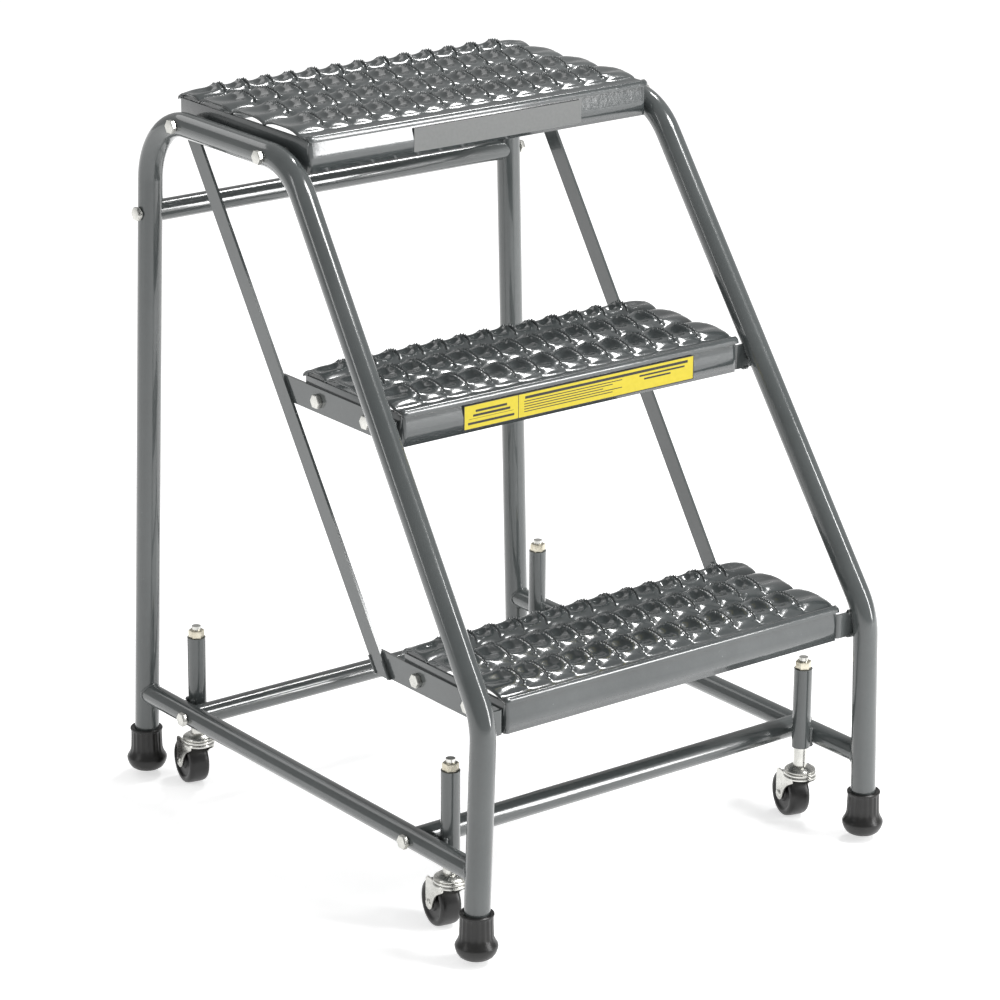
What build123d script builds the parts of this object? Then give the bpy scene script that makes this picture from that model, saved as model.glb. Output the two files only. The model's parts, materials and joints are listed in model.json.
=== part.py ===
from build123d import *
import math
import os

# Rolling three-step ladder stand. X runs across the steps, the climbing side faces -Y, +Z is up.
# The origin is on the floor, under the middle of the stand's footprint.
# Heights given as level(h) are measured from the soles of the rubber tips, which hang
# SOLE_LIFT above the floor while the sprung casters carry the stand.

# ---- driving dimensions, mm ----
SOLE_LIFT = 6.5
LEG_SPAN = 575.0
SPLAY = 1.824
FRAME_TUBE_D = 25.4
FRAME_WALL = 1.65
FRONT_BEND_HEIGHT = 238.0
TOP_RAIL_FRONT = 327.0
FRONT_BEND_R = 70.0
TOP_FRONT_BEND_R = 70.0
TOP_REAR_BEND_R = 67.0

BRACE_TUBE_D = 22.2
BRACE_WALL = 1.65
BRACE_HEIGHT = 84.75
FRONT_CROSS_Y = 101.5
REAR_CROSS_Y = 487.0
UPPER_CROSS_HEIGHT = 601.0

STEP_WIDTH = 417.0
STEP_FLANGE = 34.2
STEP_SHEET = 2.0
STEP_CORNER_R = 4.0
STEP_DEPTH = 163.0
TOP_STEP_DEPTH = 226.0
STEP_HEIGHTS = {"low": 249.0, "mid": 488.5, "top": 724.0}
STEP_FRONTS = {"low": 7.0, "mid": 170.0, "top": 321.3}

CLEAT_HEIGHT = 12.5
CLEAT_BASE_R = 12.5
CLEAT_RIM_R = 8.0
CLEAT_PITCH_X = 28.8
CLEAT_PITCH_Y = 55.0
CLEAT_COLUMNS = 14

BAR_THICKNESS = 3.0
BRACKET_HEIGHT = 25.0
BEND_INSIDE_R = 2.0
STRINGER_WIDTH = 19.0
STRINGER_FOOT_Y = 195.0
STRINGER_SLOPE = 55.9
TAB_SETBACK = {"low": 2.0, "mid": 5.0}

BOLT_D = 7.9
BOLT_CLEARANCE = 0.25
HEX_FLATS = 12.7
HEAD_HEIGHT = 5.3
NUT_HEIGHT = 6.8
STEP_BOLT_OFFSETS = (52.5, 134.5)
TOP_BOLT_OFFSETS = (40.8, 193.1)
PLUG_LENGTH = 16.0
SPACER_R = 5.5
SPACER_LENGTH = 3.435
THREAD_STUB = 3.0

TIP_HEIGHT = 46.0
TIP_UPPER_R = 17.0
TIP_FLARE_R = 21.0
TIP_SOLE_R = 13.0
TIP_FLOOR = 8.0
TIP_FLARE_HEIGHT = 12.0
TIP_NECK_HEIGHT = 20.0
TIP_FLUTES = 14
FLUTE_R = 1.3
FLUTE_MARGIN = 2.0

SOCKET_D = 19.05
SOCKET_BORE_R = 7.3
SOCKET_TOP = 161.0
SOCKET_BOTTOM = 75.5
SOCKET_FRONT_Y = 72.0
SOCKET_REAR_Y = 510.5
SOCKET_CAP = 3.0
STEM_CLEARANCE = 0.08
ROD_D = 9.5
SLEEVE_TOP = 98.0
STEM_NUT_FLATS = 14.3
STEM_NUT_HEIGHT = 8.0
STEM_NUT_GAP = 0.3
ROD_STUB = 4.0
SPRING_WIRE_R = 0.8
SPRING_COILS = 9

WHEEL_R = 24.0
WHEEL_WIDTH = 22.0
WHEEL_CROWN = 4.0
WHEEL_SHOULDER = 1.0
WHEEL_DISH = 2.0
HUB_WIDTH = 23.0
HUB_R = 8.0
AXLE_R = 3.0
AXLE_CLEARANCE = 0.08
TRAIL = 18.5
FORK_SHEET = 2.0
FORK_SIDE_GAP = 0.6
FORK_TOP_GAP = 1.6
FORK_EYE_R = 6.5
FORK_PLATE_R = 17.0
RACE_R = 16.5
RACE_TOP_R = 10.5
RACE_HEIGHT = 9.5
RACE_GAP = 0.35
KINGPIN_R = 4.0
KINGPIN_HEAD_R = 6.0
KINGPIN_HEAD = 2.6
RIVET_R = 4.6
RIVET_HEAD = 1.8
CASTER_YAW = {"front_left": 10.0, "front_right": 15.0, "rear_left": 10.0, "rear_right": 12.0}

TOP_LABEL = (-84.0, 124.0, 24.0)
MID_LABEL = (-136.0, 151.0, 25.0)
LABEL_THICKNESS = 0.3
LABEL_CORNER_R = 1.0

# ---- worked-out places ----
FRONT_LEG_Y = -LEG_SPAN / 2
SPLAY_SIN = math.sin(math.radians(SPLAY))
SPLAY_COS = math.cos(math.radians(SPLAY))
SPLAY_TAN = math.tan(math.radians(SPLAY))
FRAME_R = FRAME_TUBE_D / 2
BRACE_R = BRACE_TUBE_D / 2
STEP_HALF = STEP_WIDTH / 2
BRACKET_OUT = STEP_HALF + BAR_THICKNESS
STRINGER_OUT = BRACKET_OUT + BAR_THICKNESS
BOLT_R = BOLT_D / 2
BOLT_HOLE_R = BOLT_R + BOLT_CLEARANCE
BOLT_DROP = STEP_FLANGE - BRACKET_HEIGHT / 2
TOP_RAIL_HEIGHT = STEP_HEIGHTS["top"] - BOLT_DROP
FOOT_HALF_WIDTH = STEP_HALF + SPACER_LENGTH + FRAME_R + SPLAY_TAN * TOP_RAIL_HEIGHT
HEAD_STANDOFF = HEX_FLATS * SPLAY_TAN
SIDES = (("left", -1), ("right", 1))


def level(height):
    return SOLE_LIFT + height


def back(distance):
    return FRONT_LEG_Y + distance


def frame_x(height):
    return FOOT_HALF_WIDTH - SPLAY_TAN * height


def side_plane(side):
    return Plane(
        origin=(side * FOOT_HALF_WIDTH, 0, level(0)),
        x_dir=(0, 1, 0),
        z_dir=(SPLAY_COS, 0, side * SPLAY_SIN),
    )


def hexagon_r(flats):
    return flats / math.sqrt(3)


def write(part, label):
    part.label = label
    export_step(part, f"parts/{label}.step")


os.makedirs("parts", exist_ok=True)

BRACE_X = frame_x(BRACE_HEIGHT)
UPPER_CROSS_X = frame_x(UPPER_CROSS_HEIGHT)
TOP_RAIL_X = frame_x(TOP_RAIL_HEIGHT)
SOCKET_X = BRACE_X - BRACE_R - SOCKET_D / 2
CROSS_TUBES = {
    "cross_tube_front": (back(FRONT_CROSS_Y), BRACE_HEIGHT, BRACE_X, BRACE_R),
    "cross_tube_rear": (back(REAR_CROSS_Y), BRACE_HEIGHT, BRACE_X, BRACE_R),
    "cross_tube_upper": (back(LEG_SPAN), UPPER_CROSS_HEIGHT, UPPER_CROSS_X, FRAME_R),
}

# ---- side frames: one bent tube each, leaning in towards the top ----
frame_points = [
    (back(0), TIP_FLOOR),
    (back(0), FRONT_BEND_HEIGHT / SPLAY_COS),
    (back(TOP_RAIL_FRONT), TOP_RAIL_HEIGHT / SPLAY_COS),
    (back(LEG_SPAN), TOP_RAIL_HEIGHT / SPLAY_COS),
    (back(LEG_SPAN), TIP_FLOOR),
]
frame_cores = {}
for side_name, side in SIDES:
    with BuildPart() as frame_core:
        with BuildLine(side_plane(side)) as core_line:
            FilletPolyline(*frame_points, radius=[FRONT_BEND_R, TOP_FRONT_BEND_R, TOP_REAR_BEND_R])
        with BuildSketch(Plane(core_line.line @ 0, z_dir=core_line.line % 0)):
            Circle(FRAME_R)
        sweep(path=core_line.line)
    frame_cores[side_name] = frame_core.part

    with BuildPart() as side_frame:
        with BuildLine(side_plane(side)) as frame_line:
            FilletPolyline(*frame_points, radius=[FRONT_BEND_R, TOP_FRONT_BEND_R, TOP_REAR_BEND_R])
        with BuildSketch(Plane(frame_line.line @ 0, z_dir=frame_line.line % 0)):
            Circle(FRAME_R)
            Circle(FRAME_R - FRAME_WALL, mode=Mode.SUBTRACT)
        sweep(path=frame_line.line)
        with BuildSketch(Plane.YZ.offset(side * TOP_RAIL_X)):
            for offset in TOP_BOLT_OFFSETS:
                with Locations((back(STEP_FRONTS["top"] + offset), level(TOP_RAIL_HEIGHT))):
                    Circle(BOLT_HOLE_R)
            with Locations((back(LEG_SPAN), level(UPPER_CROSS_HEIGHT))):
                Circle(BOLT_HOLE_R)
        extrude(amount=FRAME_TUBE_D, both=True, mode=Mode.SUBTRACT)
    write(side_frame.part, f"side_frame_{side_name}")

# ---- lower side rails: straight tubes coped between the legs ----
rail_cores = {}
for side_name, side in SIDES:
    rail_axis = Plane(
        origin=(side * BRACE_X, back(0), level(BRACE_HEIGHT)), x_dir=(1, 0, 0), z_dir=(0, 1, 0)
    )
    with BuildPart() as rail_core:
        with BuildSketch(rail_axis):
            Circle(BRACE_R)
        extrude(amount=LEG_SPAN)
    rail_cores[side_name] = rail_core.part

    with BuildPart() as side_rail:
        with BuildSketch(rail_axis):
            Circle(BRACE_R)
            Circle(BRACE_R - BRACE_WALL, mode=Mode.SUBTRACT)
        extrude(amount=LEG_SPAN)
        add(frame_cores[side_name], mode=Mode.SUBTRACT)
        with BuildSketch(Plane.YZ.offset(side * BRACE_X)):
            for distance in (FRONT_CROSS_Y, REAR_CROSS_Y):
                with Locations((back(distance), level(BRACE_HEIGHT))):
                    Circle(BOLT_HOLE_R)
        extrude(amount=BRACE_TUBE_D, both=True, mode=Mode.SUBTRACT)
    write(side_rail.part, f"side_rail_{side_name}")

# ---- cross tubes: saddle-cut ends against the side rails and the rear legs ----
for tube_name, (tube_y, tube_height, seat_x, seat_r) in CROSS_TUBES.items():
    with BuildPart() as cross_tube:
        with BuildSketch(Plane(origin=(0, tube_y, level(tube_height)), z_dir=(1, 0, 0))):
            Circle(BRACE_R)
            Circle(BRACE_R - BRACE_WALL, mode=Mode.SUBTRACT)
        extrude(amount=seat_x, both=True)
        for side_name, side in SIDES:
            if seat_r == FRAME_R:
                add(frame_cores[side_name], mode=Mode.SUBTRACT)
            else:
                add(rail_cores[side_name], mode=Mode.SUBTRACT)
    write(cross_tube.part, tube_name)

# ---- threaded plugs pressed into the cross tubes' ends ----
with BuildPart() as cross_tube_plugs:
    for tube_y, tube_height, seat_x, seat_r in CROSS_TUBES.values():
        for side in (-1, 1):
            plug_start = seat_x - seat_r - HEAD_STANDOFF
            plug_plane = Plane(origin=(side * plug_start, tube_y, level(tube_height)), z_dir=(-side, 0, 0))
            with BuildSketch(plug_plane):
                Circle(BRACE_R - BRACE_WALL)
                Circle(BOLT_R, mode=Mode.SUBTRACT)
            extrude(amount=PLUG_LENGTH)
write(cross_tube_plugs.part, "cross_tube_plugs")

# ---- hex bolts that draw the cross tubes against the rails and rear legs ----
with BuildPart() as cross_tube_bolts:
    for tube_y, tube_height, seat_x, seat_r in CROSS_TUBES.values():
        for side in (-1, 1):
            head_x = seat_x + seat_r + HEAD_STANDOFF
            head_plane = Plane(
                origin=(side * head_x, tube_y, level(tube_height)), x_dir=(0, 1, 0), z_dir=(side, 0, 0)
            )
            with BuildSketch(head_plane):
                RegularPolygon(hexagon_r(HEX_FLATS), 6)
            extrude(amount=HEAD_HEIGHT)
            with BuildSketch(head_plane):
                Circle(BOLT_R)
            extrude(amount=-(2 * seat_r + PLUG_LENGTH))
write(cross_tube_bolts.part, "cross_tube_bolts")

# ---- step pans: a top sheet with flanges front and rear, pierced by raised cleats ----
step_depths = {"low": STEP_DEPTH, "mid": STEP_DEPTH, "top": TOP_STEP_DEPTH}
cleat_lean = math.degrees(math.atan((CLEAT_BASE_R - CLEAT_RIM_R) / CLEAT_HEIGHT))
for step_name, step_depth in step_depths.items():
    top_z = level(STEP_HEIGHTS[step_name])
    middle_y = back(STEP_FRONTS[step_name]) + step_depth / 2
    cleat_rows = round(step_depth / CLEAT_PITCH_Y)
    with BuildPart() as step_pan:
        with BuildSketch(Plane.YZ.offset(-STEP_HALF)):
            with Locations((middle_y, top_z - STEP_FLANGE / 2)):
                Rectangle(step_depth, STEP_FLANGE)
        extrude(amount=STEP_WIDTH)
        fillet(step_pan.edges().filter_by(Axis.X).group_by(Axis.Z)[-1], STEP_CORNER_R)
        with BuildSketch(Plane.YZ.offset(-STEP_HALF)):
            with Locations((middle_y, top_z - STEP_SHEET - STEP_FLANGE / 2)):
                Rectangle(step_depth - 2 * STEP_SHEET, STEP_FLANGE)
        extrude(amount=STEP_WIDTH, mode=Mode.SUBTRACT)
        with BuildSketch(Plane.XY.offset(top_z - STEP_SHEET / 2)):
            with Locations((0, middle_y)):
                with GridLocations(CLEAT_PITCH_X, CLEAT_PITCH_Y, CLEAT_COLUMNS, cleat_rows):
                    Circle(CLEAT_BASE_R)
        extrude(amount=CLEAT_HEIGHT + STEP_SHEET / 2, taper=cleat_lean)
        with BuildSketch(Plane.XY.offset(top_z - STEP_SHEET)):
            with Locations((0, middle_y)):
                with GridLocations(CLEAT_PITCH_X, CLEAT_PITCH_Y, CLEAT_COLUMNS, cleat_rows):
                    Circle(CLEAT_BASE_R - STEP_SHEET)
        extrude(amount=CLEAT_HEIGHT + STEP_SHEET, taper=cleat_lean, mode=Mode.SUBTRACT)
    write(step_pan.part, f"step_{step_name}")

# ---- end plates: close each step's two ends and take its bolts ----
with BuildPart() as step_end_plates:
    for step_name, step_depth in step_depths.items():
        top_z = level(STEP_HEIGHTS[step_name])
        front_y = back(STEP_FRONTS[step_name])
        offsets = TOP_BOLT_OFFSETS if step_name == "top" else STEP_BOLT_OFFSETS
        for side_name, side in SIDES:
            with BuildSketch(Plane.YZ.offset(side * (STEP_HALF - BAR_THICKNESS / 2))):
                with Locations((front_y + step_depth / 2, top_z - (STEP_FLANGE + STEP_SHEET) / 2)):
                    Rectangle(step_depth - 2 * STEP_SHEET, STEP_FLANGE - STEP_SHEET)
                for offset in offsets:
                    with Locations((front_y + offset, top_z - BOLT_DROP)):
                        Circle(BOLT_HOLE_R, mode=Mode.SUBTRACT)
            extrude(amount=BAR_THICKNESS / 2, both=True)
write(step_end_plates.part, "step_end_plates")

# ---- step brackets: flat bars under the ends, with a front tab turned out to the frame tube ----
for step_name in ("low", "mid"):
    bar_bottom = level(STEP_HEIGHTS[step_name] - STEP_FLANGE)
    tab_front = back(STEP_FRONTS[step_name] + TAB_SETBACK[step_name])
    tab_end = frame_x(STEP_HEIGHTS[step_name] - STEP_FLANGE)
    rise = STEP_HEIGHTS[step_name] - STEP_HEIGHTS["low"] + BRACKET_HEIGHT / 2
    bar_rear = back(STRINGER_FOOT_Y + rise / math.tan(math.radians(STRINGER_SLOPE)))
    for side_name, side in SIDES:
        with BuildPart() as bracket:
            with BuildSketch(Plane.XY.offset(bar_bottom)) as bar_plan:
                with BuildLine():
                    Polyline(
                        (side * STEP_HALF, bar_rear),
                        (side * STEP_HALF, tab_front),
                        (side * tab_end, tab_front),
                        (side * tab_end, tab_front + BAR_THICKNESS),
                        (side * BRACKET_OUT, tab_front + BAR_THICKNESS),
                        (side * BRACKET_OUT, bar_rear),
                        close=True,
                    )
                make_face()
                inside_spot = (side * BRACKET_OUT, tab_front + BAR_THICKNESS, 0)
                fillet(bar_plan.vertices().sort_by_distance(inside_spot)[0], BEND_INSIDE_R)
                outside_spot = (side * STEP_HALF, tab_front, 0)
                fillet(bar_plan.vertices().sort_by_distance(outside_spot)[0], BEND_INSIDE_R + BAR_THICKNESS)
            extrude(amount=BRACKET_HEIGHT)
            add(frame_cores[side_name], mode=Mode.SUBTRACT)
            with BuildSketch(Plane.YZ.offset(side * STEP_HALF)):
                for offset in STEP_BOLT_OFFSETS:
                    with Locations((back(STEP_FRONTS[step_name] + offset), bar_bottom + BRACKET_HEIGHT / 2)):
                        Circle(BOLT_HOLE_R)
            extrude(amount=BAR_THICKNESS * 2, both=True, mode=Mode.SUBTRACT)
        write(bracket.part, f"bracket_{step_name}_{side_name}")

# ---- stringers: flat bars from the low brackets up to the top rails, outside the brackets ----
stringer_foot = STEP_HEIGHTS["low"] - STEP_FLANGE
stringer_head = TOP_RAIL_HEIGHT - SPACER_R - BOLT_CLEARANCE
stringer_run = (stringer_head - stringer_foot) / math.tan(math.radians(STRINGER_SLOPE))
stringer_half = STRINGER_WIDTH / 2 / math.sin(math.radians(STRINGER_SLOPE))
for side_name, side in SIDES:
    with BuildPart() as stringer:
        with BuildSketch(Plane.YZ.offset(side * (BRACKET_OUT + BAR_THICKNESS / 2))):
            with BuildLine():
                Polyline(
                    (back(STRINGER_FOOT_Y - stringer_half), level(stringer_foot)),
                    (back(STRINGER_FOOT_Y + stringer_half), level(stringer_foot)),
                    (back(STRINGER_FOOT_Y + stringer_run + stringer_half), level(stringer_head)),
                    (back(STRINGER_FOOT_Y + stringer_run - stringer_half), level(stringer_head)),
                    close=True,
                )
            make_face()
        extrude(amount=BAR_THICKNESS / 2, both=True)
        add(frame_cores[side_name], mode=Mode.SUBTRACT)
    write(stringer.part, f"stringer_{side_name}")

# ---- bolts of the top step: through the top rails and spacers into the end plates ----
bolt_inner_end = STEP_HALF - BAR_THICKNESS - NUT_HEIGHT - THREAD_STUB
top_bolt_spots = [
    (back(STEP_FRONTS["top"] + offset), level(STEP_HEIGHTS["top"] - BOLT_DROP)) for offset in TOP_BOLT_OFFSETS
]
rail_outer = TOP_RAIL_X + FRAME_R + HEAD_STANDOFF
with BuildPart() as top_step_bolts:
    for side_name, side in SIDES:
        for spot_y, spot_z in top_bolt_spots:
            head_start = (side * rail_outer, spot_y, spot_z)
            head_plane = Plane(origin=head_start, x_dir=(0, 1, 0), z_dir=(side, 0, 0))
            with BuildSketch(head_plane):
                RegularPolygon(hexagon_r(HEX_FLATS), 6)
            extrude(amount=HEAD_HEIGHT)
            with BuildSketch(head_plane):
                Circle(BOLT_R)
            extrude(amount=-(rail_outer - bolt_inner_end))
write(top_step_bolts.part, "top_step_bolts")

with BuildPart() as top_step_spacers:
    for side_name, side in SIDES:
        for spot_y, spot_z in top_bolt_spots:
            with BuildSketch(Plane(origin=(side * STEP_HALF, spot_y, spot_z), z_dir=(side, 0, 0))):
                Circle(SPACER_R)
                Circle(BOLT_R, mode=Mode.SUBTRACT)
            extrude(amount=TOP_RAIL_X - FRAME_R - STEP_HALF)
write(top_step_spacers.part, "top_step_spacers")

# ---- bolts of the two lower steps: through the brackets into the end plates ----
low_bolt_spots = [
    (back(STEP_FRONTS[step_name] + offset), level(STEP_HEIGHTS[step_name] - BOLT_DROP))
    for step_name in ("low", "mid")
    for offset in STEP_BOLT_OFFSETS
]
with BuildPart() as step_bolts:
    for side_name, side in SIDES:
        for spot_y, spot_z in low_bolt_spots:
            head_start = (side * BRACKET_OUT, spot_y, spot_z)
            head_plane = Plane(origin=head_start, x_dir=(0, 1, 0), z_dir=(side, 0, 0))
            with BuildSketch(head_plane):
                RegularPolygon(hexagon_r(HEX_FLATS), 6)
            extrude(amount=HEAD_HEIGHT)
            with BuildSketch(head_plane):
                Circle(BOLT_R)
            extrude(amount=-(BRACKET_OUT - bolt_inner_end))
write(step_bolts.part, "step_bolts")

with BuildPart() as step_nuts:
    for side_name, side in SIDES:
        for spot_y, spot_z in top_bolt_spots + low_bolt_spots:
            nut_face = side * (STEP_HALF - BAR_THICKNESS)
            with BuildSketch(Plane(origin=(nut_face, spot_y, spot_z), x_dir=(0, 1, 0), z_dir=(-side, 0, 0))):
                RegularPolygon(hexagon_r(HEX_FLATS), 6)
                Circle(BOLT_R, mode=Mode.SUBTRACT)
            extrude(amount=NUT_HEIGHT)
write(step_nuts.part, "step_nuts")

# ---- blank label plates on the front flanges ----
for step_name, (label_left, label_right, label_height) in {"top": TOP_LABEL, "mid": MID_LABEL}.items():
    flange_middle = level(STEP_HEIGHTS[step_name] - (STEP_FLANGE + STEP_CORNER_R) / 2)
    with BuildPart() as label_plate:
        with BuildSketch(Plane.XZ.offset(-back(STEP_FRONTS[step_name]))):
            with Locations(((label_left + label_right) / 2, flange_middle)):
                RectangleRounded(label_right - label_left, label_height, LABEL_CORNER_R)
        extrude(amount=LABEL_THICKNESS)
    write(label_plate.part, f"label_{step_name}")

# ---- rubber tips pushed on the legs' ends ----
with BuildPart() as foot_tips:
    for side_name, side in SIDES:
        for leg_y in (back(0), back(LEG_SPAN)):
            tip_plane = Plane(
                origin=(side * frame_x(TIP_HEIGHT / 2), leg_y, level(0)), x_dir=(1, 0, 0), z_dir=(0, -1, 0)
            )
            with BuildSketch(tip_plane):
                with BuildLine():
                    Line((0, 0), (TIP_SOLE_R, 0))
                    RadiusArc((TIP_SOLE_R, 0), (TIP_FLARE_R, TIP_FLARE_HEIGHT), -TIP_FLARE_HEIGHT)
                    Line((TIP_FLARE_R, TIP_FLARE_HEIGHT), (TIP_UPPER_R, TIP_NECK_HEIGHT))
                    Line((TIP_UPPER_R, TIP_NECK_HEIGHT), (TIP_UPPER_R, TIP_HEIGHT))
                    Line((TIP_UPPER_R, TIP_HEIGHT), (0, TIP_HEIGHT))
                    Line((0, TIP_HEIGHT), (0, 0))
                make_face()
            revolve(axis=Axis((side * frame_x(TIP_HEIGHT / 2), leg_y, 0), (0, 0, 1)))
            flute_foot = (side * frame_x(TIP_HEIGHT / 2), leg_y, level(TIP_NECK_HEIGHT + FLUTE_MARGIN))
            with BuildSketch(Plane(flute_foot)):
                with PolarLocations(TIP_UPPER_R + FLUTE_R / 2, TIP_FLUTES):
                    Circle(FLUTE_R)
            extrude(amount=TIP_HEIGHT - TIP_NECK_HEIGHT - 2 * FLUTE_MARGIN, mode=Mode.SUBTRACT)
        add(frame_cores[side_name], mode=Mode.SUBTRACT)
write(foot_tips.part, "foot_tips")

# ---- casters: a sprung stem in a socket welded to the side rail, with a swivel fork and a wheel ----
FORK_INNER = HUB_WIDTH / 2 + FORK_SIDE_GAP
FORK_OUTER = FORK_INNER + FORK_SHEET
FORK_UNDER = 2 * WHEEL_R + FORK_TOP_GAP
FORK_OVER = FORK_UNDER + FORK_SHEET
RACE_UNDER = FORK_OVER + RACE_GAP
STEM_FOOT = RACE_UNDER + RACE_HEIGHT
SLEEVE_R = SOCKET_BORE_R - STEM_CLEARANCE
ROD_R = ROD_D / 2
CAP_UNDER = level(SOCKET_TOP) - SOCKET_CAP
ROD_TOP = level(SOCKET_TOP) + STEM_NUT_GAP + STEM_NUT_HEIGHT + ROD_STUB
SPRING_R = (SLEEVE_R + ROD_R) / 2
bore_r = AXLE_R + AXLE_CLEARANCE
crown_foot = WHEEL_R - WHEEL_CROWN
dish_x = WHEEL_WIDTH / 2 - WHEEL_DISH
caster_spots = {
    f"{row_name}_{side_name}": (side * SOCKET_X, back(row_y))
    for row_name, row_y in (("front", SOCKET_FRONT_Y), ("rear", SOCKET_REAR_Y))
    for side_name, side in SIDES
}

for caster_name, (caster_x, caster_y) in caster_spots.items():
    with BuildPart() as socket:
        with BuildSketch(Plane((caster_x, caster_y, level(SOCKET_BOTTOM)))):
            Circle(SOCKET_D / 2)
            Circle(SOCKET_BORE_R, mode=Mode.SUBTRACT)
        extrude(amount=CAP_UNDER - level(SOCKET_BOTTOM))
    write(socket.part, f"socket_{caster_name}")

with BuildPart() as socket_caps:
    for caster_x, caster_y in caster_spots.values():
        with BuildSketch(Plane((caster_x, caster_y, CAP_UNDER))):
            Circle(SOCKET_D / 2)
            Circle(ROD_R + STEM_CLEARANCE, mode=Mode.SUBTRACT)
        extrude(amount=SOCKET_CAP)
write(socket_caps.part, "socket_caps")

for caster_name, (caster_x, caster_y) in caster_spots.items():
    yaw = math.radians(CASTER_YAW[caster_name])
    axle_dir = (math.cos(yaw), -math.sin(yaw), 0)
    trail_dir = (math.sin(yaw), math.cos(yaw), 0)
    axle_x = caster_x + TRAIL * trail_dir[0]
    axle_y = caster_y + TRAIL * trail_dir[1]
    stem_axis = Axis((caster_x, caster_y, 0), (0, 0, 1))
    axle_axis = Axis((axle_x, axle_y, WHEEL_R), axle_dir)

    with BuildPart() as stem:
        with BuildSketch(Plane(origin=(caster_x, caster_y, 0), x_dir=(1, 0, 0), z_dir=(0, -1, 0))):
            with BuildLine():
                Polyline(
                    (0, FORK_UNDER - RACE_GAP - KINGPIN_HEAD),
                    (KINGPIN_HEAD_R, FORK_UNDER - RACE_GAP - KINGPIN_HEAD),
                    (KINGPIN_HEAD_R, FORK_UNDER - RACE_GAP),
                    (KINGPIN_R, FORK_UNDER - RACE_GAP),
                    (KINGPIN_R, STEM_FOOT),
                    (SLEEVE_R, STEM_FOOT),
                    (SLEEVE_R, level(SLEEVE_TOP)),
                    (ROD_R, level(SLEEVE_TOP)),
                    (ROD_R, ROD_TOP),
                    (0, ROD_TOP),
                    close=True,
                )
            make_face()
        revolve(axis=stem_axis)
    write(stem.part, f"caster_stem_{caster_name}")

    with BuildPart() as stem_nut:
        with BuildSketch(Plane((caster_x, caster_y, level(SOCKET_TOP) + STEM_NUT_GAP))):
            RegularPolygon(hexagon_r(STEM_NUT_FLATS), 6)
            Circle(ROD_R, mode=Mode.SUBTRACT)
        extrude(amount=STEM_NUT_HEIGHT)
    write(stem_nut.part, f"stem_nut_{caster_name}")

    with BuildPart() as spring:
        spring_base = level(SLEEVE_TOP) + SPRING_WIRE_R
        spring_height = CAP_UNDER - SPRING_WIRE_R - spring_base
        with BuildLine(Plane((caster_x, caster_y, spring_base))) as coil:
            Helix(pitch=spring_height / SPRING_COILS, height=spring_height, radius=SPRING_R)
        with BuildSketch(Plane(coil.line @ 0, z_dir=coil.line % 0)):
            Circle(SPRING_WIRE_R)
        sweep(path=coil.line)
    write(spring.part, f"stem_spring_{caster_name}")

    with BuildPart() as race:
        with BuildSketch(Plane(origin=(caster_x, caster_y, 0), x_dir=(1, 0, 0), z_dir=(0, -1, 0))):
            with BuildLine():
                Polyline(
                    (KINGPIN_R, RACE_UNDER),
                    (RACE_R, RACE_UNDER),
                    (RACE_R, RACE_UNDER + RACE_HEIGHT / 2),
                    (RACE_TOP_R, STEM_FOOT),
                    (KINGPIN_R, STEM_FOOT),
                    close=True,
                )
            make_face()
        revolve(axis=stem_axis)
    write(race.part, f"caster_race_{caster_name}")

    with BuildPart() as fork:
        with BuildSketch(Plane(origin=(caster_x, caster_y, FORK_UNDER), x_dir=axle_dir, z_dir=(0, 0, 1))):
            Circle(FORK_PLATE_R)
            with Locations((0, TRAIL / 2)):
                Rectangle(2 * FORK_OUTER, TRAIL)
            Circle(KINGPIN_R + STEM_CLEARANCE, mode=Mode.SUBTRACT)
        extrude(amount=FORK_SHEET)
        for cheek in (-1, 1):
            cheek_x = caster_x + cheek * FORK_INNER * axle_dir[0]
            cheek_y = caster_y + cheek * FORK_INNER * axle_dir[1]
            cheek_out = (cheek * axle_dir[0], cheek * axle_dir[1], 0)
            cheek_plane = Plane(origin=(cheek_x, cheek_y, 0), x_dir=trail_dir, z_dir=cheek_out)
            up = cheek_plane.y_dir.Z
            with BuildSketch(cheek_plane):
                with BuildLine():
                    Polyline(
                        (-FORK_EYE_R, up * FORK_OVER),
                        (TRAIL, up * FORK_OVER),
                        (TRAIL + FORK_EYE_R, up * (FORK_OVER - FORK_EYE_R)),
                        (TRAIL + FORK_EYE_R, up * WHEEL_R),
                        (TRAIL - FORK_EYE_R, up * WHEEL_R),
                        (-FORK_EYE_R, up * (FORK_UNDER - FORK_SHEET)),
                        close=True,
                    )
                make_face()
                with Locations((TRAIL, up * WHEEL_R)):
                    Circle(FORK_EYE_R)
                    Circle(AXLE_R, mode=Mode.SUBTRACT)
            extrude(amount=FORK_SHEET)
    write(fork.part, f"caster_fork_{caster_name}")

    with BuildPart() as axle:
        axle_start = Vector(axle_x, axle_y, WHEEL_R) - Vector(axle_dir) * FORK_OUTER
        with BuildSketch(Plane(origin=axle_start, z_dir=axle_dir)):
            Circle(AXLE_R)
        extrude(amount=2 * FORK_OUTER)
        for cheek in (-1, 1):
            head_start = Vector(axle_x, axle_y, WHEEL_R) + Vector(axle_dir) * (cheek * FORK_OUTER)
            with BuildSketch(Plane(origin=head_start, z_dir=Vector(axle_dir) * cheek)):
                Circle(RIVET_R)
            extrude(amount=RIVET_HEAD)
    write(axle.part, f"caster_axle_{caster_name}")

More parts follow.
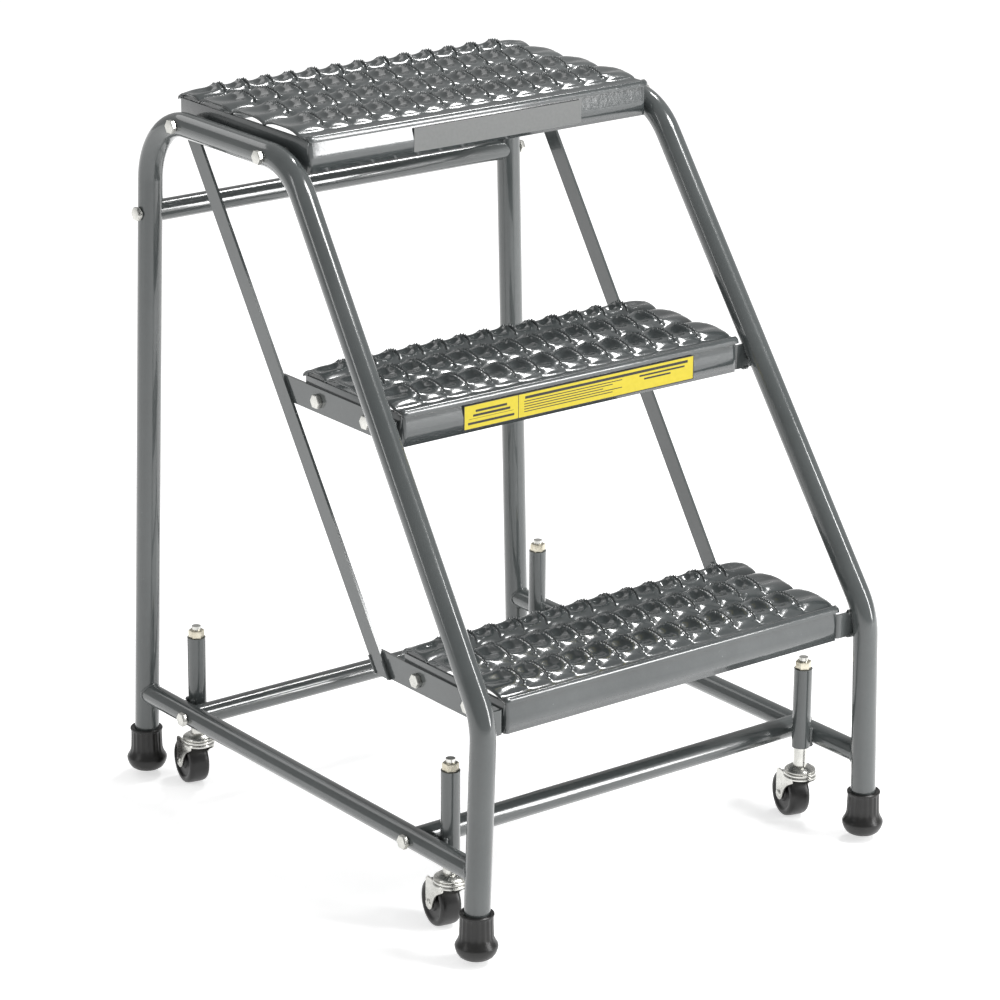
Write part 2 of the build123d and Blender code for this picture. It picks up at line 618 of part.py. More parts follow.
    with BuildPart() as wheel:
        wheel_plane = Plane(origin=(axle_x, axle_y, WHEEL_R), x_dir=axle_dir, z_dir=trail_dir)
        with BuildSketch(wheel_plane):
            with BuildLine():
                Polyline(
                    (-HUB_WIDTH / 2, bore_r),
                    (HUB_WIDTH / 2, bore_r),
                    (HUB_WIDTH / 2, HUB_R),
                    (dish_x, HUB_R + WHEEL_DISH),
                    (dish_x, crown_foot - WHEEL_SHOULDER - WHEEL_DISH),
                    (WHEEL_WIDTH / 2, crown_foot - WHEEL_SHOULDER),
                    (WHEEL_WIDTH / 2, crown_foot),
                    (WHEEL_WIDTH / 2 - WHEEL_CROWN, WHEEL_R),
                    (WHEEL_CROWN - WHEEL_WIDTH / 2, WHEEL_R),
                    (-WHEEL_WIDTH / 2, crown_foot),
                    (-WHEEL_WIDTH / 2, crown_foot - WHEEL_SHOULDER),
                    (-dish_x, crown_foot - WHEEL_SHOULDER - WHEEL_DISH),
                    (-dish_x, HUB_R + WHEEL_DISH),
                    (-HUB_WIDTH / 2, HUB_R),
                    close=True,
                )
            make_face()
        revolve(axis=axle_axis)
    write(wheel.part, f"caster_wheel_{caster_name}")
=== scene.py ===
import json
import math
import random

import bmesh
import bpy
from mathutils import Matrix, Vector


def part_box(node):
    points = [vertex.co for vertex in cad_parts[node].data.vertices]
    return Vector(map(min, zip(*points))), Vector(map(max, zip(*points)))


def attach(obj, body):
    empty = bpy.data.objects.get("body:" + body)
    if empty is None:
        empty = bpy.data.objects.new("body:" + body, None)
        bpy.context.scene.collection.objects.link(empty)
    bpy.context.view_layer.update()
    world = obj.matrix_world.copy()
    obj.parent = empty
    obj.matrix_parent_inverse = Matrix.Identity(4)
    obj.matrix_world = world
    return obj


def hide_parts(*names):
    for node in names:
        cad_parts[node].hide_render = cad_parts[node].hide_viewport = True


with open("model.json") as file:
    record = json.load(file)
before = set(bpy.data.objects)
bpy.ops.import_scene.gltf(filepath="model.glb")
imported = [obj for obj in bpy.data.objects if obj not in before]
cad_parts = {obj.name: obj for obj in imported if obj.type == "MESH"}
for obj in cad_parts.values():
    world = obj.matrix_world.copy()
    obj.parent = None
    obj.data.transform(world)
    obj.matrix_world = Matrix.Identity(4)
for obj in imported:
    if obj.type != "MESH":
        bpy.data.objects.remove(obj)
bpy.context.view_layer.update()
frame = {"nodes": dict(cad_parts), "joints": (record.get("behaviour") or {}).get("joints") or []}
scene = bpy.context.scene

# ---- camera ----
# A long lens well back from the stand, a little above the top step and to the left of the
# climbing side, so that the side frame, the treads and the casters all show.
VIEW_AZIMUTH = math.radians(-37.609)
VIEW_HEIGHT = math.radians(19.006)
VIEW_ROLL = math.radians(0.459)
VIEW_DISTANCE = 3.9597
VIEW_TARGET = Vector((-0.0298, -0.0375, 0.3499))

camera_back = Vector(
    (
        math.sin(VIEW_AZIMUTH) * math.cos(VIEW_HEIGHT),
        -math.cos(VIEW_AZIMUTH) * math.cos(VIEW_HEIGHT),
        math.sin(VIEW_HEIGHT),
    )
)
camera = bpy.data.objects.new("camera", bpy.data.cameras.new("camera"))
scene.collection.objects.link(camera)
camera.data.lens = 142.93
camera.data.clip_start = 0.1
camera.data.clip_end = 100
camera.rotation_mode = "QUATERNION"
camera_level = camera_back.to_track_quat("Z", "Y")
camera.rotation_quaternion = camera_level @ Matrix.Rotation(VIEW_ROLL, 4, "Z").to_quaternion()
camera.location = VIEW_TARGET + VIEW_DISTANCE * camera_back
scene.camera = camera

# ---- studio: floor, sky and lamps ----
# A white paper floor that glows a little, even light from all round, a soft lamp high in front
# and a small one overhead, and two upright strips that draw bright lines along the tubes.
FLOOR_R = 40.0
scene.view_settings.view_transform = "Standard"

world = bpy.data.worlds.new("studio")
scene.world = world
world.use_nodes = True
world.node_tree.nodes["Background"].inputs["Color"].default_value = (1.0, 1.0, 1.0, 1.0)
world.node_tree.nodes["Background"].inputs["Strength"].default_value = 0.42

floor_mesh = bmesh.new()
bmesh.ops.create_circle(floor_mesh, cap_ends=True, segments=64, radius=FLOOR_R)
floor_data = bpy.data.meshes.new("floor")
floor_mesh.to_mesh(floor_data)
floor_mesh.free()
floor = bpy.data.objects.new("floor", floor_data)
scene.collection.objects.link(floor)
paper = bpy.data.materials.new("white_paper")
paper.use_nodes = True
paper_shader = paper.node_tree.nodes["Principled BSDF"]
paper_shader.inputs["Base Color"].default_value = (0.86, 0.86, 0.86, 1.0)
paper_shader.inputs["Roughness"].default_value = 0.9
paper_shader.inputs["Specular IOR Level"].default_value = 0.1
paper_shader.inputs["Emission Color"].default_value = (1.0, 1.0, 1.0, 1.0)
paper_shader.inputs["Emission Strength"].default_value = 0.58
floor_data.materials.append(paper)


def lamp(name, place, aim, width, height, power):
    data = bpy.data.lights.new(name, "AREA")
    data.shape = "RECTANGLE"
    data.size = width
    data.size_y = height
    data.energy = power
    light = bpy.data.objects.new(name, data)
    scene.collection.objects.link(light)
    light.location = place
    light.rotation_mode = "QUATERNION"
    light.rotation_quaternion = (Vector(place) - Vector(aim)).to_track_quat("Z", "Y")


STAND_MIDDLE = (0.0, 0.0, 0.35)
lamp("key_lamp", (1.2, -1.6, 3.2), STAND_MIDDLE, 0.9, 0.9, 60)
lamp("right_strip", (2.0, -2.9, 1.5), STAND_MIDDLE, 0.4, 2.6, 62)
lamp("left_strip", (-3.0, 0.4, 1.6), STAND_MIDDLE, 0.4, 2.2, 10)
lamp("overhead_lamp", (1.7, 0.7, 3.2), STAND_MIDDLE, 0.5, 0.5, 28)
lamp("back_lamp", (-0.6, 3.0, 2.6), STAND_MIDDLE, 1.8, 0.8, 6)

# ---- bent side frames, side rails and cross tubes ----
# Cold-drawn steel tube, bent and coped, then dipped and baked in a grey gloss enamel. The enamel
# has a faint orange peel and a few small worn specks.


class Shade:
    """A socket of a material's nodes. Arithmetic on it adds Math nodes."""

    def __init__(self, tree, socket):
        self.tree = tree
        self.socket = socket

    def node(self, kind, settings=None, inputs=None, output=0):
        made = self.tree.nodes.new(kind)
        for name, value in (settings or {}).items():
            if name == "stops":
                ramp = made.color_ramp
                for spot, (place, colour) in enumerate(value):
                    stop = ramp.elements[spot] if spot < 2 else ramp.elements.new(place)
                    stop.position = place
                    stop.color = colour
            else:
                setattr(made, name, value)
        for name, value in (inputs or {}).items():
            if isinstance(value, Shade):
                self.tree.links.new(value.socket, made.inputs[name])
            else:
                made.inputs[name].default_value = value
        return Shade(self.tree, made.outputs[output])

    def maths(self, operation, left, right):
        return self.node("ShaderNodeMath", {"operation": operation}, {0: left, 1: right})

    def __add__(self, other):
        return self.maths("ADD", self, other)

    __radd__ = __add__

    def __sub__(self, other):
        return self.maths("SUBTRACT", self, other)

    def __rsub__(self, other):
        return self.maths("SUBTRACT", other, self)

    def __mul__(self, other):
        return self.maths("MULTIPLY", self, other)

    __rmul__ = __mul__

    def __gt__(self, other):
        return self.maths("GREATER_THAN", self, other)

    def __lt__(self, other):
        return self.maths("LESS_THAN", self, other)

    def within(self, low, high):
        return (self > low) * (self < high)

    def noise(self, scale, detail=3.0, roughness=0.5):
        return self.node(
            "ShaderNodeTexNoise",
            inputs={"Vector": self, "Scale": scale, "Detail": detail, "Roughness": roughness},
        )

    def spread(self, low, high):
        return self.node("ShaderNodeMapRange", inputs={"Value": self, "To Min": low, "To Max": high})

    def blend(self, dark, light):
        return self.node(
            "ShaderNodeMix", {"data_type": "RGBA"}, {"Factor": self, 6: dark, 7: light}, output=2
        )

    def bump(self, strength, distance, normal=None):
        inputs = {"Strength": strength, "Distance": distance, "Height": self}
        if normal is not None:
            inputs["Normal"] = normal
        return self.node("ShaderNodeBump", inputs=inputs)


def finish(name, settings):
    """A material with its fixed Principled values set, its coordinates and its shader."""
    material = bpy.data.materials.new(name)
    material.use_nodes = True
    tree = material.node_tree
    shader = tree.nodes["Principled BSDF"]
    for socket, value in settings.items():
        shader.inputs[socket].default_value = value
    places = tree.nodes.new("ShaderNodeTexCoord")
    return material, shader, Shade(tree, places.outputs["Object"])


def link(shader, socket, shade):
    shade.tree.links.new(shade.socket, shader.inputs[socket])


ENAMEL_DEEP = (0.056, 0.064, 0.064, 1.0)
ENAMEL_PALE = (0.084, 0.093, 0.093, 1.0)
ENAMEL_WORN = (0.17, 0.18, 0.18, 1.0)


def enamel(name, deep, pale, peel, lumps):
    material, shader, place = finish(
        name, {"Specular IOR Level": 0.5, "Coat Weight": 0.9, "Coat Roughness": 0.04, "IOR": 1.5}
    )
    cloud = place.noise(9.0, 4.0)
    speck = place.noise(420.0, 2.0)
    streak = place.noise(60.0, 5.0, 0.7)
    body = (cloud * 0.7 + streak * 0.3).spread(-0.6, 1.6).blend(deep, pale)
    worn = (speck > 0.73) * (streak > 0.6)
    link(shader, "Base Color", (worn * 0.5).blend(body, ENAMEL_WORN))
    link(shader, "Roughness", (streak * 0.6 + cloud * 0.4).spread(0.10, 0.30))
    fine = place.noise(700.0, 2.0).bump(peel, 0.0004)
    link(shader, "Normal", place.noise(170.0, 3.0).bump(lumps, 0.001, fine))
    return material


def dress(slot_name, material, *nodes):
    """Gives carried-over CAD nodes their finish."""
    for node in nodes:
        part = frame["nodes"][node]
        part.data.materials.clear()
        part.data.materials.append(material)


SIDES = (("left", -1), ("right", 1))
tube_enamel = enamel("tube_enamel", ENAMEL_DEEP, ENAMEL_PALE, 0.08, 0.015)
dress(
    "frame_enamel",
    tube_enamel,
    "side_frame_left",
    "side_frame_right",
    "side_rail_left",
    "side_rail_right",
    "cross_tube_front",
    "cross_tube_rear",
    "cross_tube_upper",
)

# ---- brackets and stringers ----
# Hot-rolled flat bar, sheared to length and welded on before the frame is dipped, so they carry
# the same enamel as the tubes.
for bar in ("bracket_low", "bracket_mid", "stringer"):
    for side_name, side in SIDES:
        dress("frame_enamel", tube_enamel, f"{bar}_{side_name}")


def clusters(node):
    """Lowest and highest corner of each separate solid of a CAD node."""
    mesh = bmesh.new()
    mesh.from_mesh(frame["nodes"][node].data)
    bmesh.ops.remove_doubles(mesh, verts=mesh.verts, dist=1e-6)
    left = set(mesh.verts)
    found = []
    while left:
        reached = [left.pop()]
        for vert in reached:
            for edge in vert.link_edges:
                other = edge.other_vert(vert)
                if other in left:
                    left.remove(other)
                    reached.append(other)
        low = Vector([min(vert.co[axis] for vert in reached) for axis in range(3)])
        high = Vector([max(vert.co[axis] for vert in reached) for axis in range(3)])
        found.append((low, high))
    mesh.free()
    return sorted(found, key=lambda box: tuple(box[0]))


def build(name, mesh, material, body, nodes=(), sharp=35.0, closed=True):
    """Makes a bmesh into a piece on its body. An open sheet keeps the sides that it was made with."""
    if closed:
        bmesh.ops.recalc_face_normals(mesh, faces=mesh.faces)
    data = bpy.data.meshes.new(name)
    mesh.to_mesh(data)
    mesh.free()
    data.shade_smooth()
    data.set_sharp_from_angle(angle=math.radians(sharp))
    data.materials.append(material)
    made = bpy.data.objects.new(name, data)
    scene.collection.objects.link(made)
    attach(made, body)
    if nodes:
        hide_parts(*nodes)
    return made


# ---- weld beads ----
# Fillet welds of rippled steel, laid by hand before the frame is enamelled: round each rail's
# coped ends, down both sides of each caster socket, and at the bracket tabs and the stringers.
BEAD_R = 0.0021
RIPPLE = 0.16
frame_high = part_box("side_frame_right")[1]
rail_low, rail_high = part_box("side_rail_right")
rail_x = (rail_low.x + rail_high.x) / 2
rail_z = (rail_low.z + rail_high.z) / 2
rail_r = (rail_high.z - rail_low.z) / 2
TUBE_R = 0.0127
leg_y = frame_high.y - TUBE_R

random.seed(11)
beads = bmesh.new()


def bead(points, radius=BEAD_R, closed=False):
    """A rippled weld along a line of points."""
    curve = bpy.data.curves.new("bead", "CURVE")
    curve.dimensions = "3D"
    curve.bevel_depth = radius
    curve.bevel_resolution = 2
    curve.use_fill_caps = True
    line = curve.splines.new("POLY")
    line.points.add(len(points) - 1)
    for number, point in enumerate(points):
        line.points[number].co = (*point, 1.0)
        line.points[number].radius = 1 - RIPPLE + 2 * RIPPLE * (number % 2) + random.uniform(-0.1, 0.1)
    line.use_cyclic_u = closed
    holder = bpy.data.objects.new("bead", curve)
    run = bpy.data.meshes.new_from_object(holder)
    beads.from_mesh(run)
    bpy.data.meshes.remove(run)
    bpy.data.objects.remove(holder)
    bpy.data.curves.remove(curve)


COPE_STEPS = 44
for side_name, side in SIDES:
    for leg_side in (-1, 1):
        ring = []
        for step in range(COPE_STEPS):
            turn = 2 * math.pi * step / COPE_STEPS
            across = rail_r * math.cos(turn)
            reach = math.sqrt(max(TUBE_R**2 - across**2, 0))
            height = rail_z + rail_r * math.sin(turn)
            ring.append((side * (rail_x + across), leg_side * (leg_y - reach), height))
        bead(ring, BEAD_R * 0.6, closed=True)

SOCKET_WELD = 0.020
SOCKET_WELD_APART = 0.0048
SOCKET_WELD_SUNK = 0.0006
SOCKET_WELD_STEPS = 12
CASTERS = tuple(f"{row_name}_{side_name}" for row_name in ("front", "rear") for side_name, side in SIDES)
for caster in CASTERS:
    socket_low, socket_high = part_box(f"socket_{caster}")
    side = 1 if socket_low.x > 0 else -1
    contact_x = side * (rail_x - rail_r - SOCKET_WELD_SUNK)
    middle_y = (socket_low.y + socket_high.y) / 2
    for edge in (-1, 1):
        weld_y = middle_y + edge * SOCKET_WELD_APART
        run = [
            (contact_x, weld_y, rail_z + SOCKET_WELD * (step / SOCKET_WELD_STEPS - 0.5))
            for step in range(SOCKET_WELD_STEPS + 1)
        ]
        bead(run, BEAD_R * 1.15)

TAB_WELD_STEPS = 7
TAB_WELD_PITCH = 0.0012
TAB_WELD_INSET = 0.0115
for step_name in ("low", "mid"):
    bar_low, bar_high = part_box(f"bracket_{step_name}_right")
    for side_name, side in SIDES:
        for height in (bar_low.z, bar_high.z):
            run = [
                (side * (bar_high.x - TAB_WELD_INSET + TAB_WELD_PITCH * step), bar_low.y + 0.0015, height)
                for step in range(TAB_WELD_STEPS)
            ]
            bead(run, BEAD_R * 1.1)

STRINGER_WELD_PITCH = Vector((0, 0.0012, 0.0018))
STRINGER_WELD_STEPS = 10
STRINGER_FOOT_MIDDLE = 0.0115
STRINGER_EDGE = 0.0105
HEAD_WELD_PITCH = 0.0025
HEAD_WELD_STEPS = 9
stringer_low, stringer_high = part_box("stringer_right")
for side_name, side in SIDES:
    outer_x = side * stringer_high.x
    for reach in (-1, 1):
        edge_y = stringer_low.y + STRINGER_FOOT_MIDDLE + reach * STRINGER_EDGE
        start = Vector((outer_x, edge_y, stringer_low.z))
        bead([start + STRINGER_WELD_PITCH * step for step in range(STRINGER_WELD_STEPS)], BEAD_R * 0.8)
    head = Vector((outer_x, stringer_high.y - 0.001, stringer_high.z - 0.0005))
    bead([head - Vector((0, HEAD_WELD_PITCH * step, 0)) for step in range(HEAD_WELD_STEPS)])
build("weld_beads", beads, tube_enamel, "stand", sharp=60.0)

# ---- treads ----
# Each tread is one steel sheet, slit lengthwise and cold-formed so that the slits open into lens
# shapes with raised saw-toothed lips, then folded down at the front and rear and dipped in enamel.
# Each column's rows are bowls: BOWL_RIM high at front and rear, LIP high along the toothed slits.
SHEET = 0.002
FOLD_R = 0.003
COLUMN = 0.0288
COLUMNS = 14
ROW = 0.0575
LIP = 0.0111
BOWL_RIM = 0.0092
BOWL_DEPTH = 0.0062
OPEN_HALF = 0.0036
TOOTH = 0.0010
LIP_FOOT = 0.5
END_RISE = 0.45
CELL_ACROSS = 12
CELL_ALONG = 30
FIRST_ROW = {"low": 0.0095, "mid": 0.0125, "top": 0.019}
END_ROW_GAP = 0.001
SLIT_START = 0.14
SLIT_END = 0.92
FLANGE = 0.0342

# The treads' enamel is the tubes' grey enamel painted darker: painted shade, standing in for the shade and
# dark reflections down in the treads' dishes.
painted_shade_tread_enamel = enamel("painted_shade_tread_enamel", (0.040, 0.047, 0.048, 1.0), (0.072, 0.081, 0.082, 1.0), 0.12, 0.18)


def arch(share, flatness):
    """A hump that starts and ends at nothing, flatter on top the smaller flatness is."""
    return math.sin(math.pi * min(max(share, 0.0), 1.0)) ** flatness


def tread_stations(depth, first):
    """Places from the front flange's foot, over the fold and the top, to the rear flange's foot."""
    folds = 5
    flange = [("front", FLANGE - FOLD_R, 0.0, 0.0), ("front", (FLANGE - FOLD_R) / 2, 0.0, 0.0)]
    front = flange + [("front_fold", math.pi / 2 * step / folds, 0.0, 0.0) for step in range(folds + 1)]
    rear = [("rear_fold", math.pi / 2 * step / folds, 0.0, 0.0) for step in range(folds + 1)]
    rear += [("rear", (FLANGE - FOLD_R) / 2, 0.0, 0.0), ("rear", FLANGE - FOLD_R, 0.0, 0.0)]
    top = [("flat", (FOLD_R + first) / 2, 0.0, 0.0)]
    start = first
    while start < depth - ROW / 3:
        length = min(ROW, depth - FOLD_R - END_ROW_GAP + 0.002 - start)
        cells = CELL_ALONG if length == ROW else round(CELL_ALONG * length / ROW)
        top += [("row", start + length * step / cells, step / cells, length) for step in range(cells)]
        start += length
    top.append(("flat", min(start, depth - FOLD_R - 0.001), 0.0, 0.0))
    return front + top + rear


def shape_tread(vert, station, across, column_x, depth, low_corner, top_z, half_width, tooth):
    """Puts one vertex of a strand's grid in its place. across runs from -1 to 1 over the strand."""
    kind, reach, share, length = station
    half = COLUMN / 2
    x = column_x + across * half
    at_end = abs(column_x) > (COLUMNS - 1.5) / 2 * COLUMN and across * column_x > 0
    if at_end:
        x = column_x + across * (half_width - abs(column_x))
    y, z = reach, 0.0
    corner = max(abs(x) - (half_width - FOLD_R), 0.0)
    corner = min(corner, FOLD_R)
    tuck = FOLD_R - math.sqrt(FOLD_R**2 - corner**2)
    if kind in ("front", "rear"):
        y = tuck if kind == "front" else depth - tuck
        z = -FOLD_R - reach
    elif kind in ("front_fold", "rear_fold"):
        turn = reach if kind == "front_fold" else math.pi / 2 - reach
        y = FOLD_R * (1 - math.sin(turn)) + tuck * math.cos(turn)
        y = y if kind == "front_fold" else depth - y
        z = -FOLD_R * (1 - math.cos(turn))
    elif kind == "row":
        slit = (share - SLIT_START) / (SLIT_END - SLIT_START)
        bowl = BOWL_RIM * arch(share, 0.7) - BOWL_DEPTH * arch(share, 5.0)
        lip = max(LIP * arch(slit, 0.4), LIP_FOOT * bowl)
        if at_end:
            lip = END_RISE * LIP * arch(share, 0.6)
            tooth = 0.0
        else:
            x = column_x + across * (half - OPEN_HALF * arch(slit, 0.8))
        z = bowl + (lip - bowl) * abs(across) ** 2.4
        bite = tooth * max(abs(across) - 0.6, 0.0) / 0.4 * arch(slit, 0.3)
        z += bite
        x += math.copysign(0.6 * bite, across)
    vert.co = Vector((x, low_corner + y, top_z + z))


random.seed(5)
for step_name in ("low", "mid", "top"):
    step_low, step_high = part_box(f"step_{step_name}")
    depth = step_high.y - step_low.y
    half_width = step_high.x
    top_z = step_low.z + FLANGE
    stations = tread_stations(depth, FIRST_ROW[step_name])
    tread = bmesh.new()
    for column in range(COLUMNS):
        column_x = (column - (COLUMNS - 1) / 2) * COLUMN
        strand = bmesh.ops.create_grid(
            tread, x_segments=CELL_ACROSS, y_segments=len(stations) - 1, size=1.0
        )["verts"]
        for vert in strand:
            spot = round((vert.co.y + 1) / 2 * (len(stations) - 1))
            across = vert.co.x
            across = math.copysign(abs(across) ** 0.75, across)
            bite = TOOTH * (1 if spot % 2 else -1) * random.uniform(0.5, 1.3)
            if stations[spot][0] != "row":
                bite = 0.0
            shape_tread(
                vert, stations[spot], across, column_x, depth, step_low.y, top_z, half_width, bite
            )
    bmesh.ops.remove_doubles(tread, verts=tread.verts, dist=0.0002)
    made = build(
        f"tread_{step_name}",
        tread,
        painted_shade_tread_enamel,
        "stand",
        (f"step_{step_name}",),
        sharp=50.0,
        closed=False,
    )
    wall = made.modifiers.new("wall", "SOLIDIFY")
    wall.thickness = SHEET
    wall.offset = -1.0

# ---- tread end plates ----
# Flat bar plates welded in under the ends of each tread, with their sharp edges broken. The
# brackets and the top rails bolt to them.
plates = bmesh.new()
for plate_low, plate_high in clusters("step_end_plates"):
    cube = bmesh.ops.create_cube(plates, size=1.0)["verts"]
    inset = FOLD_R - SHEET
    size = plate_high - plate_low - Vector((0, 2 * inset, 0))
    bmesh.ops.scale(plates, vec=size, verts=cube)
    bmesh.ops.translate(plates, vec=(plate_low + plate_high) / 2, verts=cube)
bmesh.ops.bevel(
    plates, geom=plates.edges[:], offset=0.0005, segments=2, affect="EDGES", profile=0.5, material=-1
)
# The end plates take the treads' darker enamel, so they carry its painted shade too.
build("end_plates", plates, painted_shade_tread_enamel, "stand", ("step_end_plates",))

# ---- zinc-plated screws and nuts ----
# Hex-head machine bolts of the tread ends and the cross tubes: cold-headed, with chamfered corners
# and a washer face, bright zinc plated with a slight yellow cast.
ZINC_PALE = (0.80, 0.79, 0.75, 1.0)
ZINC_DULL = (0.56, 0.56, 0.53, 1.0)


def zinc(name, pale, dull, grain):
    material, shader, place = finish(name, {"Metallic": 1.0, "Specular IOR Level": 0.5})
    cloud = place.noise(90.0, 4.0, 0.6)
    spangle = place.noise(600.0, 2.0)
    link(shader, "Base Color", cloud.spread(-0.7, 1.5).blend(dull, pale))
    link(shader, "Roughness", (cloud * 0.5 + spangle * 0.5).spread(0.12, 0.44))
    link(shader, "Normal", spangle.bump(grain, 0.0003))
    return material


zinc_plate = zinc("zinc_plate", ZINC_PALE, ZINC_DULL, 0.25)
nut_zinc = zinc("nut_zinc", (0.78, 0.74, 0.62, 1.0), (0.5, 0.46, 0.36, 1.0), 0.3)
dress("zinc", zinc_plate, "step_nuts", "top_step_spacers", "cross_tube_plugs")
HEAD_HEIGHT = 0.0053
HEX_FLATS = 0.0127
SHANK_R = 0.00395
WASHER_FACE = 0.0005
HEAD_CHAMFER = 0.0009


def hexagon(mesh, flats, height, foot, axis_turn, chamfer):
    """A hexagon prism with its outer edge chamfered, standing on foot along its turned Z axis."""
    corner = flats / math.sqrt(3)
    made = bmesh.ops.create_cone(
        mesh, cap_ends=True, segments=6, radius1=corner, radius2=corner, depth=height
    )["verts"]
    rim = {edge for vert in made for edge in vert.link_edges if all(v.co.z > 0 for v in edge.verts)}
    top = bmesh.ops.bevel(
        mesh, geom=list(rim), offset=chamfer, segments=3, affect="EDGES", profile=0.5, material=-1
    )["verts"]
    made = list({vert for vert in made if vert.is_valid} | set(top))
    bmesh.ops.translate(mesh, vec=(0, 0, height / 2), verts=made)
    bmesh.ops.transform(mesh, matrix=Matrix.Translation(foot) @ axis_turn, verts=made)


def rod(mesh, radius, height, foot, axis_turn, segments=32):
    made = bmesh.ops.create_cone(
        mesh, cap_ends=True, segments=segments, radius1=radius, radius2=radius, depth=height
    )["verts"]
    bmesh.ops.translate(mesh, vec=(0, 0, height / 2), verts=made)
    bmesh.ops.transform(mesh, matrix=Matrix.Translation(foot) @ axis_turn, verts=made)


for screws in ("cross_tube_bolts", "top_step_bolts", "step_bolts"):
    screw_mesh = bmesh.new()
    for screw_low, screw_high in clusters(screws):
        side = 1 if screw_low.x > 0 else -1
        outer = screw_high.x if side > 0 else screw_low.x
        inner = screw_low.x if side > 0 else screw_high.x
        middle = (screw_low + screw_high) / 2
        outward = Matrix.Rotation(side * math.pi / 2, 4, "Y")
        seat = Vector((outer - side * HEAD_HEIGHT, middle.y, middle.z))
        head_foot = seat + Vector((side * WASHER_FACE, 0, 0))
        hexagon(screw_mesh, HEX_FLATS, HEAD_HEIGHT - WASHER_FACE, head_foot, outward, HEAD_CHAMFER)
        rod(screw_mesh, HEX_FLATS * 0.48, WASHER_FACE, seat, outward)
        rod(screw_mesh, SHANK_R, abs(seat.x - inner), Vector((inner, middle.y, middle.z)), outward, 20)
    build(f"hex_{screws}", screw_mesh, zinc_plate, "stand", (screws,), sharp=28.0)

# ---- label plates ----
# Printed vinyl on the front flanges. The upper one is a plain grey plate, and the yellow one
# carries a divider and rows of plain bars in black.
INK = (0.02, 0.02, 0.018, 1.0)
grey_vinyl, grey_shader, grey_place = finish("grey_vinyl", {"Specular IOR Level": 0.4})
grain = grey_place.noise(300.0, 2.0)
link(grey_shader, "Base Color", grain.blend((0.15, 0.155, 0.155, 1.0), (0.20, 0.205, 0.20, 1.0)))
link(grey_shader, "Roughness", grain.spread(0.3, 0.5))
dress("label_grey", grey_vinyl, "label_top")

yellow_low, yellow_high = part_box("label_mid")
DIVIDER_X = -0.070
yellow_vinyl, yellow_shader, yellow_place = finish("yellow_vinyl", {"Specular IOR Level": 0.4})
label_x = yellow_place.node("ShaderNodeSeparateXYZ", inputs={"Vector": yellow_place})
label_z = Shade(label_x.tree, label_x.socket.node.outputs["Z"])
left_x, right_x = yellow_low.x, yellow_high.x
foot_z, head_z = yellow_low.z, yellow_high.z
print_mask = label_x.within(DIVIDER_X - 0.0004, DIVIDER_X + 0.0004)
bars = [
    (left_x + 0.014, DIVIDER_X - 0.014, head_z - 0.0072, 0.0024),
    (left_x + 0.011, DIVIDER_X - 0.010, head_z - 0.0115, 0.0024),
    (left_x + 0.006, DIVIDER_X - 0.006, head_z - 0.0146, 0.0004),
    (left_x + 0.005, DIVIDER_X - 0.005, head_z - 0.0190, 0.0024),
    (DIVIDER_X + 0.008, right_x - 0.008, head_z - 0.0050, 0.0028),
    (right_x - 0.070, right_x - 0.012, head_z - 0.0094, 0.0018),
    (right_x - 0.064, right_x - 0.030, head_z - 0.0132, 0.0018),
]
for line in range(5):
    line_end = right_x - 0.092 - 0.012 * (line % 3)
    bars.append((DIVIDER_X + 0.007, line_end, head_z - 0.0088 - 0.0026 * line, 0.0009))
for bar_left, bar_right, bar_z, bar_height in bars:
    row = label_z.within(bar_z - bar_height / 2, bar_z + bar_height / 2)
    print_mask = print_mask + row * label_x.within(bar_left, bar_right)
BORDER = 0.0009
inside = label_x.within(left_x + BORDER, right_x - BORDER) * label_z.within(foot_z + BORDER, head_z - BORDER)
print_mask = print_mask + (1 - inside)
sheen = yellow_place.noise(240.0, 2.0)
yellow = sheen.blend((0.58, 0.47, 0.018, 1.0), (0.66, 0.54, 0.03, 1.0))
clipped = print_mask.node("ShaderNodeClamp", inputs={"Value": print_mask})
link(yellow_shader, "Base Color", clipped.blend(yellow, INK))
link(yellow_shader, "Roughness", sheen.spread(0.3, 0.45))
dress("label_yellow", yellow_vinyl, "label_mid")

# ---- rubber foot tips ----
# Black moulded rubber crutch tips pushed over the legs: a rolled rim, a fluted collar for grip in
# fitting, and a flared foot with a rounded edge.
FLUTES = 18
FLUTE_DEPTH = 0.0006
FLUTE_FOOT = 0.020
FLUTE_HEAD = 0.0425
COLLAR_R = 0.0155
SPIN_STEPS = 108


def rubber(name, colour, dust, grain):
    material, shader, place = finish(name, {"Specular IOR Level": 0.5})
    cloud = place.noise(60.0, 4.0, 0.6)
    pores = place.noise(900.0, 2.0)
    link(shader, "Base Color", cloud.spread(-0.4, 1.1).blend(colour, dust))
    link(shader, "Roughness", (cloud * 0.6 + pores * 0.4).spread(0.22, 0.46))
    link(shader, "Normal", pores.bump(grain, 0.0003))
    return material


def turned(mesh, profile, centre, axis, out, steps):
    """Spins a profile of (radius, along) points round an axis through centre and closes it."""
    axis = Vector(axis).normalized()
    out = Vector(out).normalized()
    verts = [mesh.verts.new(Vector(centre) + out * radius + axis * along) for radius, along in profile]
    edges = [mesh.edges.new(pair) for pair in zip(verts, verts[1:])]
    bmesh.ops.spin(
        mesh, geom=verts + edges, cent=centre, axis=axis, angle=2 * math.pi, steps=steps, use_merge=True
    )


